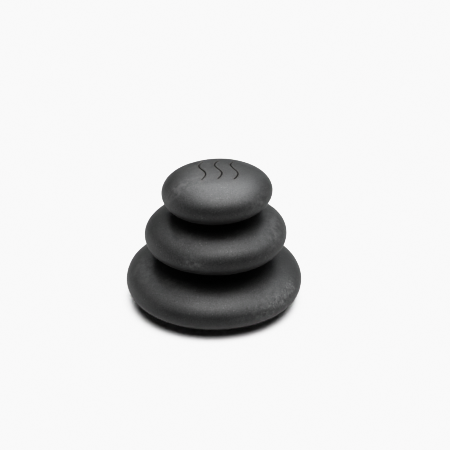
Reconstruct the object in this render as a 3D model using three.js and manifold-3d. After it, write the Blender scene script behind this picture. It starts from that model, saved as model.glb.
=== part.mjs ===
// Hot-massage stones: three smooth, flattened pebbles of black basalt, stacked with the
// largest at the bottom. Each stone is one solid piece. It stands loose on the stone below
// and lifts straight off.
//
// Millimetres, +Z up. The origin is the centre of the face that the large stone rests on.

import * as THREE from 'three';
import { mergeVertices } from 'three/addons/utils/BufferGeometryUtils.js';
import Module from 'manifold-3d';

const wasm = await Module();
wasm.setup();

// ---------------------------------------------------------------- driving dimensions

// length runs along X and width along Y, both at the stone's waist.
// squareness is the exponent of the outline seen from above: 2 is an ellipse, more is squarer.
// lean tips the +X side up when it is negative, in degrees.
// offset moves the stone along X from the centre of the stone below.
const LARGE = { length: 80, width: 79, thickness: 24, squareness: 2.09, lean: 0.4, offset: 0 };
const MEDIUM = { length: 63.6, width: 63, thickness: 22.3, squareness: 2.08, lean: -0.7, offset: 0.9 };
const SMALL = { length: 49.1, width: 48.6, thickness: 19.6, squareness: 2.02, lean: -2.3, offset: 0.5 };

// The exponent of the profile seen from the side: the rim is rounder than a plain ellipse's.
const FULLNESS = 2.45;

// Where two stones meet, and under the large one, the curve ends in a flat contact patch.
const SEAT_DEPTH = 0.3;
const SEAT_CLEARANCE = 0.3;

// Three wavy lines, the usual sign for heat, are cut into the small stone's crown.
const WAVE_COUNT = 3;
const WAVE_SPACING = 7;
const WAVE_LENGTH = 18;
const WAVE_SWING = 1.6;
const WAVE_CENTRE_X = 1;
const WAVE_CENTRE_Y = 2;
const GROOVE_RADIUS = 0.35;

const FACETS_AROUND = 64;
const FACETS_UP = 24;
const FACETS_ALONG_WAVE = 20;

// ---------------------------------------------------------------- shape of a pebble

// How far the outline reaches in direction angle, as a share of an ellipse's half axes.
function outlineReach(stone, angle) {
  const n = stone.squareness;
  return (Math.abs(Math.cos(angle)) ** n + Math.abs(Math.sin(angle)) ** n) ** (-1 / n);
}

// Half of the side profile, from the bottom pole out to the waist and in to the top pole.
// The waist is at radius 1, so that the outline can stretch it to length and width.
function sideProfile(stone) {
  const points = [];
  for (let i = 0; i <= FACETS_UP; i++) {
    const t = Math.PI * (i / FACETS_UP - 0.5);
    const pole = i === 0 || i === FACETS_UP;
    const radius = pole ? 0 : Math.cos(t) ** (2 / FULLNESS);
    points.push(new THREE.Vector2(radius, (stone.thickness / 2) * Math.sin(t)));
  }
  return points;
}

// Height of the stone's upper surface above its waist at x, y, before it leans.
function crownHeight(stone, x, y) {
  const u = x / (stone.length / 2);
  const v = y / (stone.width / 2);
  const radius = Math.hypot(u, v) / outlineReach(stone, Math.atan2(v, u));
  return (stone.thickness / 2) * Math.sqrt(1 - radius ** FULLNESS);
}

// The whole rounded pebble, centred on its own middle and upright.
function pebbleGeometry(stone) {
  const geometry = new THREE.LatheGeometry(sideProfile(stone), FACETS_AROUND);
  geometry.rotateX(Math.PI / 2);
  const position = geometry.getAttribute('position');
  for (let i = 0; i < position.count; i++) {
    const reach = outlineReach(stone, Math.atan2(position.getY(i), position.getX(i)));
    position.setX(i, position.getX(i) * reach * (stone.length / 2));
    position.setY(i, position.getY(i) * reach * (stone.width / 2));
  }
  return geometry;
}

// ---------------------------------------------------------------- cutting

// A closed three.js geometry as a solid. Triangles that shrink to a line at a pole are dropped.
function toSolid(geometry) {
  const bare = geometry.clone();
  bare.deleteAttribute('normal');
  bare.deleteAttribute('uv');
  const merged = mergeVertices(bare, 1e-4);
  const corners = merged.getIndex().array;
  const triVerts = [];
  for (let i = 0; i < corners.length; i += 3) {
    const [a, b, c] = corners.slice(i, i + 3);
    if (a !== b && b !== c && c !== a) triVerts.push(a, b, c);
  }
  return new wasm.Manifold(new wasm.Mesh({
    numProp: 3,
    vertProperties: new Float32Array(merged.getAttribute('position').array),
    triVerts: new Uint32Array(triVerts),
  }));
}

function toGeometry(solid) {
  const cut = solid.getMesh();
  const geometry = new THREE.BufferGeometry();
  geometry.setAttribute('position', new THREE.BufferAttribute(cut.vertProperties, 3));
  geometry.setIndex(new THREE.BufferAttribute(cut.triVerts, 1));
  geometry.computeVertexNormals();
  return geometry;
}

// Height of a contact patch above or below the middle of its stone.
function seatHeight(stone) {
  return stone.thickness / 2 - SEAT_DEPTH;
}

// A block that takes away all of a stone past its contact patch: side is 1 above, -1 below.
function seatCutter(stone, side) {
  const block = new THREE.BoxGeometry(stone.length, stone.length, stone.thickness);
  block.translate(0, 0, side * (seatHeight(stone) + stone.thickness / 2));
  return toSolid(block);
}

// ---------------------------------------------------------------- wavy lines

// One wave, as long as WAVE_LENGTH, that lies on the stone's crown at the given x.
class WaveOnCrown extends THREE.Curve {
  constructor(stone, x) {
    super();
    this.stone = stone;
    this.x = x;
  }

  getPoint(t, target = new THREE.Vector3()) {
    const x = this.x + WAVE_SWING * Math.sin(2 * Math.PI * t);
    const y = WAVE_CENTRE_Y + WAVE_LENGTH * (t - 0.5);
    return target.set(x, y, crownHeight(this.stone, x, y));
  }
}

function grooveCutters(stone) {
  const section = new THREE.Shape().absarc(0, 0, GROOVE_RADIUS, 0, 2 * Math.PI);
  const cutters = [];
  for (let i = 0; i < WAVE_COUNT; i++) {
    const x = WAVE_CENTRE_X + WAVE_SPACING * (i - (WAVE_COUNT - 1) / 2);
    const groove = new THREE.ExtrudeGeometry(section, {
      extrudePath: new WaveOnCrown(stone, x),
      steps: FACETS_ALONG_WAVE,
      curveSegments: 4,
      bevelEnabled: false,
    });
    groove.rotateY(THREE.MathUtils.degToRad(stone.lean));
    cutters.push(toSolid(groove));
  }
  return cutters;
}

// ---------------------------------------------------------------- stones

function basaltMaterial() {
  return new THREE.MeshStandardMaterial({ color: 0x2b2c2d, roughness: 0.5, metalness: 0 });
}

// A leaning pebble with the given cutters taken away from it.
function stoneMesh(name, stone, cutters) {
  const pebble = pebbleGeometry(stone);
  pebble.rotateY(THREE.MathUtils.degToRad(stone.lean));
  let solid = toSolid(pebble);
  for (const cutter of cutters) solid = solid.subtract(cutter);
  const mesh = new THREE.Mesh(toGeometry(solid), basaltMaterial());
  mesh.name = name;
  return mesh;
}

function largeStone() {
  return stoneMesh('large_stone', LARGE, [seatCutter(LARGE, 1), seatCutter(LARGE, -1)]);
}

function mediumStone() {
  return stoneMesh('medium_stone', MEDIUM, [seatCutter(MEDIUM, 1), seatCutter(MEDIUM, -1)]);
}

function smallStone() {
  return stoneMesh('small_stone', SMALL, [seatCutter(SMALL, -1), ...grooveCutters(SMALL)]);
}

// ---------------------------------------------------------------- stack

// Stands a stone and all it carries on the stone below.
function standOn(below, stone, carried) {
  const rise = seatHeight(below) + SEAT_CLEARANCE + seatHeight(stone);
  const group = new THREE.Group();
  group.position.set(stone.offset, 0, rise);
  group.add(...carried);
  return group;
}

const smallGroup = standOn(MEDIUM, SMALL, [smallStone()]);
const mediumGroup = standOn(LARGE, MEDIUM, [mediumStone(), smallGroup]);

const stack = new THREE.Group();
stack.name = 'massage_stone_stack';
stack.position.z = seatHeight(LARGE);
stack.add(largeStone(), mediumGroup);

export default stack;
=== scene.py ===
"""Three black basalt massage stones, stacked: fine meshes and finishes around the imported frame.

Everything is in metres, in the frame's own axes: +Z up, -Y towards the camera.
"""

import math
from collections import namedtuple

import bmesh
import bpy
import numpy as np
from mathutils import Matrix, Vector


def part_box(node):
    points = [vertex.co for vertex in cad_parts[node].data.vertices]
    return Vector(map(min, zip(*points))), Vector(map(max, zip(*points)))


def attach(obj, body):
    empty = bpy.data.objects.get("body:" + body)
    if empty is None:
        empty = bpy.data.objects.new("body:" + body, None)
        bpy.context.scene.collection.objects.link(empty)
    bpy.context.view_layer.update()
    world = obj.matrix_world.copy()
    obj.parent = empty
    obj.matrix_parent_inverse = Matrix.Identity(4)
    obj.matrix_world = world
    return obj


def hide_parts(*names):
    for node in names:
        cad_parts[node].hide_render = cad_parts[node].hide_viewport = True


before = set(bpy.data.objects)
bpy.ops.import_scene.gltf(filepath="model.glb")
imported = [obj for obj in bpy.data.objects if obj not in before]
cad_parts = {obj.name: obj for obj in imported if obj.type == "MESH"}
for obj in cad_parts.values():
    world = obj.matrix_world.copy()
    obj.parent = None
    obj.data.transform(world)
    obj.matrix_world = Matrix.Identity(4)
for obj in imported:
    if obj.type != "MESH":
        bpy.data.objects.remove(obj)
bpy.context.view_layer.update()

MM = 0.001

# ------------------------------------------------------------------ sizes and places

# The side profile of every stone: 2 would be an ellipse, and more gives a fuller rim.
FULLNESS = 2.45

# The frame's stones are cut flat this far in from the full curve, above and below.
FRAME_SEAT_DEPTH = 0.3 * MM
SEAT_ROUNDING = 0.1 * MM
CONTACT_SLACK = 0.01 * MM

# Mesh squares along each side of the cube that is blown up into each stone.
LARGE_CELLS, MEDIUM_CELLS, SMALL_CELLS = 128, 116, 100

# How far the small stone's tilt lifts its highest point, which is not cut flat.
TILT_RISE = 0.095 * MM

# Hand polishing leaves the surface a little uneven: height and length of the two wavinesses.
# Each is a sum of waves, the shortest and longest given as shares of that length.
BROAD_SWELL, BROAD_LENGTH = 0.05 * MM, 26 * MM
FINE_SWELL, FINE_LENGTH = 0.012 * MM, 7 * MM
WAVES_SUMMED = 18
SHORTEST_WAVE, LONGEST_WAVE = 0.7, 1.5

# Newton steps that bring a point onto a stone's surface.
SURFACE_STEPS = 8

# Three wavy lines, the usual sign for heat, engraved on the small stone's crown.
LINE_COUNT = 3
LINE_SPACING = 7 * MM
LINE_LENGTH = 18 * MM
LINE_SWING = 1.6 * MM
LINE_CENTRE = (1 * MM, 2 * MM)
LINE_POINTS = 80
GROOVE_HALF_WIDTH = 0.42 * MM
GROOVE_DEPTH = 0.42 * MM
GROOVE_POINTEDNESS = 1.3
REFINED_REACH = 1.0 * MM
REFINEMENTS = 2
# How far the pale rim beside each groove reaches: partly dust, partly painted highlight.
EDGE_DUST_AND_GLINT_REACH = 0.2 * MM

# A worn patch: where its middle is (degrees from +X towards +Y, and its height as a share of the
# half thickness), how far it reaches along and across its own length, how much that length is
# turned up from level in degrees, and how strongly it shows.
Patch = namedtuple("Patch", "azimuth height along across turn strength")

CAMERA_ELEVATION = math.radians(29.4)
CAMERA_DISTANCE = 474.6 * MM
CAMERA_AIM = Vector((5.0, 0, 37.9)) * MM
LENS, SENSOR = 85, 36


# ------------------------------------------------------------------ shape of the stones

def unit(vectors):
    return vectors / np.linalg.norm(vectors, axis=-1, keepdims=True)


def cube_sphere(cells):
    """Points and quads of a cube with cells x cells squares a side, blown up to a unit sphere."""
    steps = np.arange(cells + 1)
    i, j = (grid.ravel() for grid in np.meshgrid(steps, steps, indexing="ij"))
    sides = []
    for axis in range(3):
        for end in (0, cells):
            side = np.empty((len(i), 3), int)
            side[:, axis] = end
            side[:, (axis + 1) % 3] = i
            side[:, (axis + 2) % 3] = j
            sides.append(side)
    lattice, index = np.unique(np.concatenate(sides), axis=0, return_inverse=True)
    quads = []
    for number, grid in enumerate(index.reshape(6, cells + 1, cells + 1)):
        corners = [grid[:-1, :-1], grid[1:, :-1], grid[1:, 1:], grid[:-1, 1:]]
        faces_in = number % 2 == 0
        quads.append(np.stack(corners[::-1] if faces_in else corners, -1).reshape(-1, 4))
    points = unit(np.tan((lattice / cells * 2 - 1) * math.pi / 4))
    return points, np.concatenate(quads)


def uneven(rng, wavelength):
    """A smooth random height field of unit size: the sum of seeded waves of about that length."""
    lengths = wavelength * rng.uniform(SHORTEST_WAVE, LONGEST_WAVE, (WAVES_SUMMED, 1))
    waves = unit(rng.normal(size=(WAVES_SUMMED, 3))) * 2 * math.pi / lengths
    phases = rng.uniform(0, 2 * math.pi, WAVES_SUMMED)

    def height(points):
        return np.sin(points @ waves.T + phases).sum(1) / math.sqrt(WAVES_SUMMED / 2)

    return height


class Stone:
    """The shape of one stone, worked out from the box of its CAD node.

    squareness is the exponent of its outline from above, and lean its tilt about Y in degrees.
    """

    def __init__(self, node, squareness, lean, seed, cut_above=FRAME_SEAT_DEPTH):
        self.node = node
        self.squareness = squareness
        low, high = (np.array(corner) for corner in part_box(node))
        self.half = (high - low) / 2
        self.half[2] += (FRAME_SEAT_DEPTH + cut_above) / 2
        self.centre = (low + high) / 2
        self.centre[2] = low[2] - FRAME_SEAT_DEPTH + self.half[2]
        self.seat_below = low[2]
        self.seat_above = high[2]
        turn = math.radians(lean)
        self.lean = np.array([
            [math.cos(turn), 0, math.sin(turn)],
            [0, 1, 0],
            [-math.sin(turn), 0, math.cos(turn)],
        ])
        rng = np.random.default_rng(seed)
        self.swells = [
            (BROAD_SWELL, uneven(rng, BROAD_LENGTH)),
            (FINE_SWELL, uneven(rng, FINE_LENGTH)),
        ]

    def on_surface(self, directions):
        """The points of the smooth, upright stone that lie in these directions of a unit sphere."""
        x, y, z = np.abs(directions).T
        q = self.squareness
        outline = (x**q + y**q) ** (FULLNESS / q)
        scale = np.ones(len(directions))
        for _ in range(SURFACE_STEPS):
            excess = outline * scale**FULLNESS + (z * scale) ** 2 - 1
            slope = FULLNESS * outline * scale ** (FULLNESS - 1) + 2 * z**2 * scale
            scale -= excess / slope
        return directions * scale[:, None] * self.half

    def normals(self, points):
        """Outward normals of the smooth, upright stone."""
        x, y, z = np.abs(points / self.half).T
        q = self.squareness
        outline = np.maximum(x**q + y**q, 1e-12) ** (FULLNESS / q - 1)
        slopes = np.stack([x ** (q - 1) * outline, y ** (q - 1) * outline, z * 2 / FULLNESS], -1)
        return unit(np.sign(points) * slopes / self.half)

    def relief(self, points):
        """How far the real surface stands out of the smooth one."""
        return sum(height * field(points) for height, field in self.swells)

    def settled(self, points):
        """Upright points tilted, put in the stack, and pressed flat where the stone touches."""
        placed = points @ self.lean.T + self.centre
        for seat, side in ((self.seat_below, -1), (self.seat_above, 1)):
            if seat is not None:
                past = (placed[:, 2] - seat) * side
                placed[:, 2] -= side * (past + np.hypot(past, SEAT_ROUNDING)) / 2
        return placed


class EngravedStone(Stone):
    """A stone with the wavy lines cut into its crown."""

    def distance_to_lines(self, points):
        """How far each upright point is from the nearest line, seen from above."""
        t = np.linspace(0, 1, LINE_POINTS)
        swing = LINE_SWING * np.sin(2 * math.pi * t)
        along = LINE_CENTRE[1] + LINE_LENGTH * (t - 0.5)
        distance = np.full(len(points), LINE_LENGTH)
        near = (points[:, 2] > 0) & (np.abs(points[:, :2]) < LINE_LENGTH).all(1)
        for number in range(LINE_COUNT):
            across = LINE_CENTRE[0] + LINE_SPACING * (number - (LINE_COUNT - 1) / 2) + swing
            gaps = points[near, None, :2] - np.stack([across, along], -1)
            distance[near] = np.minimum(distance[near], np.linalg.norm(gaps, axis=-1).min(1))
        return distance

    def groove(self, points):
        """1 along the middle of a groove, falling to 0 at its edge."""
        share = np.minimum(self.distance_to_lines(points) / GROOVE_HALF_WIDTH, 1)
        return np.cos(share * math.pi / 2) ** GROOVE_POINTEDNESS

    def groove_edge(self, points):
        """1 just outside a groove, where fine dust lies and a highlight is painted, falling to 0 on
        both sides.
        """
        beyond = self.distance_to_lines(points) - GROOVE_HALF_WIDTH
        return np.exp(-((beyond / EDGE_DUST_AND_GLINT_REACH) ** 2))

    def relief(self, points):
        return super().relief(points) - GROOVE_DEPTH * self.groove(points)


def refined(stone, points, faces):
    """The unit-sphere mesh with its faces split finer along the engraved lines."""
    bm = bmesh.new()
    for point in points:
        bm.verts.new(point)
    bm.verts.ensure_lookup_table()
    for face in faces:
        bm.faces.new([bm.verts[i] for i in face])
    for _ in range(REFINEMENTS):
        bm.verts.index_update()
        spots = np.array([v.co for v in bm.verts])
        near = stone.distance_to_lines(stone.on_surface(unit(spots))) < REFINED_REACH
        edges = [e for e in bm.edges if near[e.verts[0].index] and near[e.verts[1].index]]
        bmesh.ops.subdivide_edges(bm, edges=edges, cuts=1, use_grid_fill=True)
    bm.verts.index_update()
    finer = unit(np.array([v.co for v in bm.verts]))
    faces = [[v.index for v in face.verts] for face in bm.faces]
    bm.free()
    return finer, faces


def patch_strength(stone, upright, normals, patches):
    """How strongly each point is worn: each patch fades out from its middle."""
    total = np.zeros(len(upright))
    for patch in patches:
        around, turn = math.radians(patch.azimuth), math.radians(patch.turn)
        level = math.sqrt(1 - patch.height**2) ** (2 / FULLNESS)
        aim = np.array([[level * math.cos(around), level * math.sin(around), patch.height]])
        middle = stone.on_surface(aim)
        facing = stone.normals(middle)[0]
        sideways = np.array([-math.sin(around), math.cos(around), 0])
        upwards = np.cross(facing, sideways)
        lengthwise = math.cos(turn) * sideways + math.sin(turn) * upwards
        crosswise = math.cos(turn) * upwards - math.sin(turn) * sideways
        gaps = upright - middle
        reach = (gaps @ lengthwise / patch.along) ** 2 + (gaps @ crosswise / patch.across) ** 2
        total += patch.strength * np.exp(-reach) * (normals @ facing > 0)
    return np.minimum(total, 1)


def add_attribute(mesh, name, values):
    attribute = mesh.attributes.new(name, "FLOAT", "POINT")
    attribute.data.foreach_set("value", values.astype(np.float32))


def stone_piece(name, stone, cells, scuffs, hazes, material):
    """The finished piece: a fine mesh that stands for its CAD node and moves with its body."""
    directions, faces = cube_sphere(cells)
    engraved = isinstance(stone, EngravedStone)
    if engraved:
        directions, faces = refined(stone, directions, faces)
    smooth = stone.on_surface(directions)
    normals = stone.normals(smooth)
    upright = smooth + normals * stone.relief(smooth)[:, None]
    mesh = bpy.data.meshes.new(name)
    mesh.from_pydata(stone.settled(upright), [], [list(face) for face in faces])
    mesh.shade_smooth()
    add_attribute(mesh, "scuff", patch_strength(stone, smooth, normals, scuffs))
    add_attribute(mesh, "haze", patch_strength(stone, smooth, normals, hazes))
    if engraved:
        add_attribute(mesh, "groove", stone.groove(smooth))
        add_attribute(mesh, "groove_edge", stone.groove_edge(smooth))
    mesh.materials.append(material)
    piece = bpy.data.objects.new(name, mesh)
    bpy.context.scene.collection.objects.link(piece)
    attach(piece, stone.node)
    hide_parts(stone.node)


# ------------------------------------------------------------------ node trees

class Shader:
    """Short calls that add nodes to a material's or world's tree and join them."""

    def __init__(self, owner):
        owner.use_nodes = True
        self.tree = owner.node_tree
        self.tree.nodes.clear()

    def add(self, kind, inputs=None, **settings):
        node = self.tree.nodes.new("ShaderNode" + kind)
        for name, value in settings.items():
            setattr(node, name, value)
        for name, value in (inputs or {}).items():
            if isinstance(value, bpy.types.NodeSocket):
                self.tree.links.new(value, node.inputs[name])
            else:
                node.inputs[name].default_value = value
        return node

    def math(self, operation, a, b=0.0):
        return self.add("Math", {0: a, 1: b}, operation=operation).outputs[0]

    def attribute(self, name):
        return self.add("Attribute", attribute_name=name).outputs["Fac"]

    def dot(self, a, b):
        return self.add("VectorMath", {0: a, 1: b}, operation="DOT_PRODUCT").outputs["Value"]

    def noise(self, where, size, detail=2.0, roughness=0.5, distortion=0.0):
        """Noise with features of about that size in metres, centred on 0.5."""
        return self.add("TexNoise", {
            "Vector": where,
            "Scale": 1 / size,
            "Detail": detail,
            "Roughness": roughness,
            "Distortion": distortion,
        }).outputs["Fac"]

    def ramp(self, value, low, high, to_low=0.0, to_high=1.0):
        """value from low to high, eased to run from to_low to to_high and held there outside."""
        return self.add("MapRange", {
            "Value": value,
            "From Min": low,
            "From Max": high,
            "To Min": to_low,
            "To Max": to_high,
        }, interpolation_type="SMOOTHSTEP").outputs["Result"]

    def mix(self, factor, a, b):
        """Colour a where factor is 0, b where it is 1."""
        node = self.add("Mix", data_type="RGBA")
        for socket, value in ((node.inputs[0], factor), (node.inputs[6], a), (node.inputs[7], b)):
            if isinstance(value, bpy.types.NodeSocket):
                self.tree.links.new(value, socket)
            else:
                socket.default_value = value
        return node.outputs[2]


def grey(level, coolness=0.0):
    """A neutral colour, a little bluer for positive coolness."""
    return (level * (1 - coolness), level, level * (1 + coolness), 1)


# ------------------------------------------------------------------ basalt

# Sizes of the basalt's markings.
CLOUD_SIZE = 9 * MM
GRAIN_SIZE = 0.5 * MM
SPECK_SPACING = 0.9 * MM
SPECK_NUDGE, SPECK_NUDGE_SIZE = 0.25 * MM, 0.4 * MM
DUST_SIZE = 1.3 * MM
BLOOM_SIZE = 2.4 * MM

# Smooth noise keeps mostly between these two values.
NOISE_LOW, NOISE_HIGH = 0.3, 0.7

# The basalt's greys, as linear reflectance from 0 to 1.
DARK_CLOUD, PALE_CLOUD = 0.008, 0.012
PALE_GRAIN = 0.018
PALE_SPECK = 0.08
HAZE_GREY = 0.075
DUST_GREY = 0.11
# The pale warm rim beside the grooves: partly dust, partly painted highlight.
EDGE_DUST_AND_GLINT_GREY, EDGE_DUST_AND_GLINT_WARMTH = 0.05, 0.12
# Painted shade: the grooves are coloured darker than the basalt around them.
PAINTED_GROOVE_SHADE = 0.004

# How strongly grain, specks and the grooves' edges (dust and painted highlight) take on their colour.
GRAIN_COVER, SPECK_COVER, EDGE_DUST_AND_GLINT_COVER = 0.5, 0.7, 0.5

# Roughness of the satin: lowest and highest over the clouds, give or take the grain's share, and
# what full dust adds. Full haze adds HAZE_DULLNESS of what dust does.
SATIN_LOW, SATIN_HIGH = 0.53, 0.57
GRAIN_ROUGHNESS = 0.03
DUST_ROUGHNESS = 0.25
HAZE_DULLNESS = 0.6

# How much light the surface mirrors: between and on the grains, and the share left in a groove.
DULL_GRAIN, BRIGHT_GRAIN = 0.34, 0.64
GROOVE_GLOSS = 0.15
BASALT_IOR = 1.5
GRAIN_HEIGHT, GRAIN_BUMP = 0.03 * MM, 0.25

def specks(shader, where):
    """Pale mineral dots, one to a cell and each of its own size and strength; most hardly show."""
    nudge = shader.add("TexNoise", {"Vector": where, "Scale": 1 / SPECK_NUDGE_SIZE}).outputs["Color"]
    off = shader.add("VectorMath", {0: nudge, "Scale": SPECK_NUDGE}, operation="SCALE").outputs[0]
    spot = shader.add("VectorMath", {0: where, 1: off}, operation="ADD").outputs[0]
    cells = shader.add("TexVoronoi", {"Vector": spot, "Scale": 1 / SPECK_SPACING})
    chance = shader.add("SeparateColor", {"Color": cells.outputs["Color"]})
    reach = shader.ramp(chance.outputs["Red"], 0, 1, 0.08, 0.3)
    nearness = shader.math("DIVIDE", cells.outputs["Distance"], reach)
    dot = shader.ramp(nearness, 0.4, 1.3, 1, 0)
    strength = shader.math("POWER", chance.outputs["Green"], 2.5)
    return shader.math("MULTIPLY", dot, strength)


def dust(shader, where, scuff):
    """Soft pale blotches, dense in the middle of a scuff and breaking up towards its ends."""
    blotches = shader.noise(where, DUST_SIZE, detail=6, roughness=0.72, distortion=1.0)
    thick = shader.math("ADD", blotches, shader.math("MULTIPLY", scuff, 0.14))
    return shader.math("MULTIPLY", shader.ramp(thick, 0.54, 0.8), shader.ramp(scuff, 0, 0.5))


def bloom(shader, where, haze):
    """A thin mottled haze."""
    mottling = shader.noise(where, BLOOM_SIZE, detail=6, roughness=0.7)
    return shader.math("MULTIPLY", shader.ramp(mottling, 0.4, 0.64, 0.1, 1), haze)


def basalt(name):
    """Black basalt honed to a satin: fine grain, faint pale specks, dusty scuffs and haze."""
    material = bpy.data.materials.new(name)
    shader = Shader(material)
    where = shader.add("TexCoord").outputs["Object"]
    clouds = shader.noise(where, CLOUD_SIZE, detail=4, roughness=0.6)
    grain = shader.noise(where, GRAIN_SIZE, detail=3, roughness=0.75)
    scuffed = dust(shader, where, shader.attribute("scuff"))
    hazed = bloom(shader, where, shader.attribute("haze"))
    groove = shader.attribute("groove")

    def over_noise(noise, low, high):
        """From low to high as the noise rises."""
        return shader.ramp(noise, NOISE_LOW, NOISE_HIGH, low, high)

    speckled = shader.math("MULTIPLY", specks(shader, where), SPECK_COVER)
    edge_dust_and_glint = shader.math("MULTIPLY", shader.attribute("groove_edge"), EDGE_DUST_AND_GLINT_COVER)
    colour = shader.mix(over_noise(clouds, 0, 1), grey(DARK_CLOUD), grey(PALE_CLOUD))
    colour = shader.mix(over_noise(grain, 0, GRAIN_COVER), colour, grey(PALE_GRAIN))
    colour = shader.mix(speckled, colour, grey(PALE_SPECK))
    colour = shader.mix(hazed, colour, grey(HAZE_GREY))
    colour = shader.mix(scuffed, colour, grey(DUST_GREY))
    # Pale rim along the grooves: partly dust, partly painted highlight.
    colour = shader.mix(edge_dust_and_glint, colour, grey(EDGE_DUST_AND_GLINT_GREY, -EDGE_DUST_AND_GLINT_WARMTH))
    # Painted shade in the grooves: their colour is darkened towards black.
    colour = shader.mix(groove, colour, grey(PAINTED_GROOVE_SHADE))

    sheen = over_noise(clouds, SATIN_LOW, SATIN_HIGH)
    sheen = shader.math("ADD", sheen, over_noise(grain, -GRAIN_ROUGHNESS, GRAIN_ROUGHNESS))
    dull = shader.math("MAXIMUM", scuffed, shader.math("MULTIPLY", hazed, HAZE_DULLNESS))
    roughness = shader.math("ADD", sheen, shader.math("MULTIPLY", dull, DUST_ROUGHNESS))

    gloss = over_noise(grain, DULL_GRAIN, BRIGHT_GRAIN)
    gloss = shader.math("MULTIPLY", gloss, shader.ramp(groove, 0, 1, 1, GROOVE_GLOSS))

    bump = shader.add("Bump", {
        "Height": grain,
        "Strength": GRAIN_BUMP,
        "Distance": GRAIN_HEIGHT,
    }).outputs["Normal"]
    surface = shader.add("BsdfPrincipled", {
        "Base Color": colour,
        "Roughness": roughness,
        "IOR": BASALT_IOR,
        "Specular IOR Level": gloss,
        "Normal": bump,
    }).outputs["BSDF"]
    shader.add("OutputMaterial", {"Surface": surface})
    return material


# ------------------------------------------------------------------ studio

# A softbox far away: where it hangs (degrees from +X towards +Y, and above the horizon), its
# width and height as tangents of the half angles it fills, its edge's softness, its light and
# how cool that light is.
Softbox = namedtuple("Softbox", "azimuth elevation width height edge light coolness")

SOFTBOXES = [
    Softbox(azimuth=-90, elevation=81, width=0.34, height=0.15, edge=0.08, light=14.2, coolness=0),
    Softbox(azimuth=-60, elevation=80, width=0.25, height=0.15, edge=0.08, light=19.6, coolness=0),
    Softbox(azimuth=87, elevation=59, width=0.4, height=0.15, edge=0.08, light=30.6, coolness=0.01),
    Softbox(azimuth=45, elevation=48, width=0.3, height=0.25, edge=0.15, light=1.9, coolness=0.06),
    Softbox(azimuth=2, elevation=54, width=0.17, height=0.27, edge=0.1, light=14.4, coolness=0),
    Softbox(azimuth=13, elevation=9, width=0.5, height=0.25, edge=0.2, light=1.8, coolness=0),
    Softbox(azimuth=180, elevation=65, width=0.25, height=0.25, edge=0.15, light=4.5, coolness=0),
    Softbox(azimuth=172, elevation=3, width=0.5, height=0.17, edge=0.2, light=6.0, coolness=0),
]
BACKDROP_LIGHT = 4.0

# A direction counts as facing a softbox when its cosine to the softbox's middle is over this.
LEAST_DEPTH = 0.01

# The soft overhead light on the paper: where it is, how much of the sky it fills (degrees), and
# its strength.
OVERHEAD_AZIMUTH, OVERHEAD_ELEVATION, OVERHEAD_SPREAD = -78, 70, 41
OVERHEAD_LIGHT = 8.4

# The paper as the camera sees it, and the share of that whiteness it throws back on the stones.
PAPER_COLOUR = 0.9
PAPER_BOUNCE = 0.75
PAPER_ROUGHNESS = 0.7
PAPER_REACH = 3.0

# How light turns into tone: dark tones fall away as light to this power, and tones above the
# knee ease into paper white.
CONTRAST = 1.4
KNEE = 0.5
PAPER_WHITE = 0.945
METERED_LIGHTS = (0.02, 0.06, 0.13, 0.22, 0.35, 0.5, 0.65, 0.85, 1.1, 1.4, 1.8, 2.4)
BRIGHTEST_LIGHT = 3.2


def towards(azimuth, elevation):
    """The unit vector that points this way."""
    turn, rise = math.radians(azimuth), math.radians(elevation)
    level = math.cos(rise)
    return Vector((level * math.cos(turn), level * math.sin(turn), math.sin(rise)))


def softbox_glow(shader, direction, box):
    """The light that comes from a softbox along each direction."""
    middle = towards(box.azimuth, box.elevation)
    across = towards(box.azimuth + 90, 0)
    upwards = middle.cross(across)
    depth = shader.dot(direction, middle)
    safe_depth = shader.math("MAXIMUM", depth, LEAST_DEPTH)
    glow = shader.math("GREATER_THAN", depth, LEAST_DEPTH)
    for axis, reach in ((across, box.width), (upwards, box.height)):
        sideways = shader.math("DIVIDE", shader.dot(direction, axis), safe_depth)
        offset = shader.math("ABSOLUTE", sideways)
        inside = shader.ramp(offset, reach - box.edge / 2, reach + box.edge / 2, 1, 0)
        glow = shader.math("MULTIPLY", glow, inside)
    return shader.math("MULTIPLY", glow, box.light)


def studio_world():
    """Softboxes in a dark room for the stones to mirror, and plain white for the camera to see."""
    world = bpy.data.worlds.new("studio")
    bpy.context.scene.world = world
    shader = Shader(world)
    direction = shader.add("TexCoord").outputs["Generated"]
    light = (0, 0, 0)
    for box in SOFTBOXES:
        glow = softbox_glow(shader, direction, box)
        tint = grey(1, box.coolness)[:3]
        added = shader.add("VectorMath", {0: glow, 1: tint, 2: light}, operation="MULTIPLY_ADD")
        light = added.outputs[0]
    seen = shader.add("LightPath").outputs["Is Camera Ray"]
    colour = shader.mix(seen, light, grey(BACKDROP_LIGHT))
    background = shader.add("Background", {"Color": colour})
    shader.add("OutputWorld", {"Surface": background.outputs[0]})
    world.cycles_visibility.diffuse = False


def overhead():
    """A wide soft lamp that lights the paper, and the stones' matt colour but not their gloss."""
    data = bpy.data.lights.new("overhead", "SUN")
    data.energy = OVERHEAD_LIGHT
    data.angle = math.radians(OVERHEAD_SPREAD)
    lamp = bpy.data.objects.new("overhead", data)
    upwards = towards(OVERHEAD_AZIMUTH, OVERHEAD_ELEVATION)
    lamp.rotation_euler = upwards.to_track_quat("Z", "Y").to_euler()
    lamp.visible_glossy = False
    bpy.context.scene.collection.objects.link(lamp)


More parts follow.
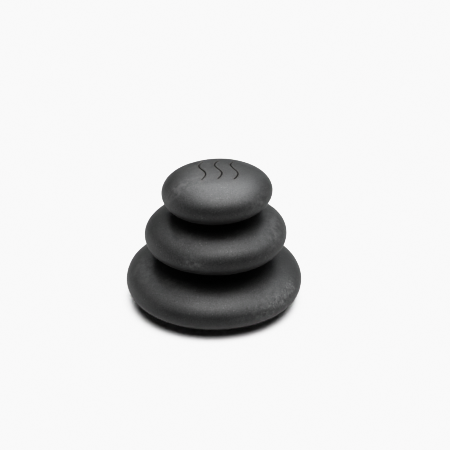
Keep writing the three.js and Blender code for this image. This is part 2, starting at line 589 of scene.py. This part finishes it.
def floor():
    """A wide sheet of white paper."""
    mesh = bpy.data.meshes.new("floor")
    corners = [(x * PAPER_REACH, y * PAPER_REACH, 0) for x, y in ((-1, -1), (1, -1), (1, 1), (-1, 1))]
    mesh.from_pydata(corners, [], [(0, 1, 2, 3)])
    material = bpy.data.materials.new("white_paper")
    shader = Shader(material)
    seen = shader.add("LightPath").outputs["Is Camera Ray"]
    colour = shader.mix(seen, grey(PAPER_COLOUR * PAPER_BOUNCE), grey(PAPER_COLOUR))
    surface = shader.add("BsdfPrincipled", {"Base Color": colour, "Roughness": PAPER_ROUGHNESS})
    shader.add("OutputMaterial", {"Surface": surface.outputs[0]})
    mesh.materials.append(material)
    sheet = bpy.data.objects.new("floor", mesh)
    bpy.context.scene.collection.objects.link(sheet)


def camera():
    data = bpy.data.cameras.new("camera")
    data.lens = LENS
    data.sensor_width = SENSOR
    eye = bpy.data.objects.new("camera", data)
    back = Vector((0, -math.cos(CAMERA_ELEVATION), math.sin(CAMERA_ELEVATION)))
    eye.location = CAMERA_AIM + back * CAMERA_DISTANCE
    eye.rotation_euler = back.to_track_quat("Z", "Y").to_euler()
    bpy.context.scene.collection.objects.link(eye)
    bpy.context.scene.camera = eye


def tone(light):
    """The tone that an amount of light is printed as, both from 0 for black to 1 for white."""
    straight = light**CONTRAST
    if straight < KNEE:
        return straight
    headroom = PAPER_WHITE - KNEE
    return PAPER_WHITE - headroom * math.exp((KNEE - straight) / headroom)


def development():
    """A contrasty print, with whites that end just short of full white, as bright paper does."""
    settings = bpy.context.scene.view_settings
    settings.view_transform = "Standard"
    settings.use_curve_mapping = True
    mapping = settings.curve_mapping
    mapping.use_clip = False
    mapping.extend = "HORIZONTAL"
    for curve in mapping.curves[:3]:
        curve.points[0].location = (0, 0)
        curve.points[1].location = (BRIGHTEST_LIGHT, tone(BRIGHTEST_LIGHT))
        for light in METERED_LIGHTS:
            curve.points.new(light, tone(light))
    mapping.update()


# ------------------------------------------------------------------ assembly

def build_stones():
    large = Stone("large_stone", squareness=2.09, lean=0.4, seed=11)
    medium = Stone("medium_stone", squareness=2.08, lean=-0.7, seed=12)
    small = EngravedStone("small_stone", squareness=2.02, lean=-2.3, seed=13, cut_above=-TILT_RISE)
    small.seat_above = None
    for lower, upper in ((large, medium), (medium, small)):
        contact = (lower.seat_above + upper.seat_below) / 2
        lower.seat_above = contact - CONTACT_SLACK
        upper.seat_below = contact + CONTACT_SLACK
    stone_piece("large_basalt_stone", large, LARGE_CELLS, [
        Patch(azimuth=-26, height=0.4, along=6 * MM, across=2.8 * MM, turn=20, strength=0.9),
        Patch(azimuth=-46, height=0.29, along=9 * MM, across=2.8 * MM, turn=8, strength=0.8),
    ], [
        Patch(azimuth=-34, height=0.48, along=15 * MM, across=5 * MM, turn=0, strength=0.2),
        Patch(azimuth=-46, height=0.02, along=16 * MM, across=5 * MM, turn=0, strength=0.8),
        Patch(azimuth=-130, height=0.78, along=12 * MM, across=6 * MM, turn=0, strength=0.25),
        Patch(azimuth=-168, height=0.62, along=9 * MM, across=6 * MM, turn=0, strength=0.6),
    ], basalt("large_basalt"))
    stone_piece("medium_basalt_stone", medium, MEDIUM_CELLS, [
        Patch(azimuth=-28, height=0.42, along=6 * MM, across=3 * MM, turn=10, strength=0.4),
    ], [
        Patch(azimuth=-18, height=0.5, along=12 * MM, across=6 * MM, turn=0, strength=0.6),
        Patch(azimuth=20, height=0.7, along=12 * MM, across=6 * MM, turn=0, strength=0.4),
        Patch(azimuth=-108, height=0.12, along=6 * MM, across=3 * MM, turn=0, strength=0.7),
        Patch(azimuth=-125, height=0.75, along=9 * MM, across=5 * MM, turn=0, strength=0.25),
    ], basalt("medium_basalt"))
    stone_piece("small_basalt_stone", small, SMALL_CELLS, [], [
        Patch(azimuth=-150, height=0.66, along=11 * MM, across=4.5 * MM, turn=75, strength=0.65),
        Patch(azimuth=-175, height=0.97, along=12 * MM, across=8 * MM, turn=0, strength=0.25),
        Patch(azimuth=20, height=0.6, along=12 * MM, across=5 * MM, turn=0, strength=0.3),
        Patch(azimuth=-42, height=0.15, along=8 * MM, across=3.5 * MM, turn=0, strength=0.6),
    ], basalt("small_basalt"))


build_stones()
floor()
studio_world()
overhead()
camera()
development()
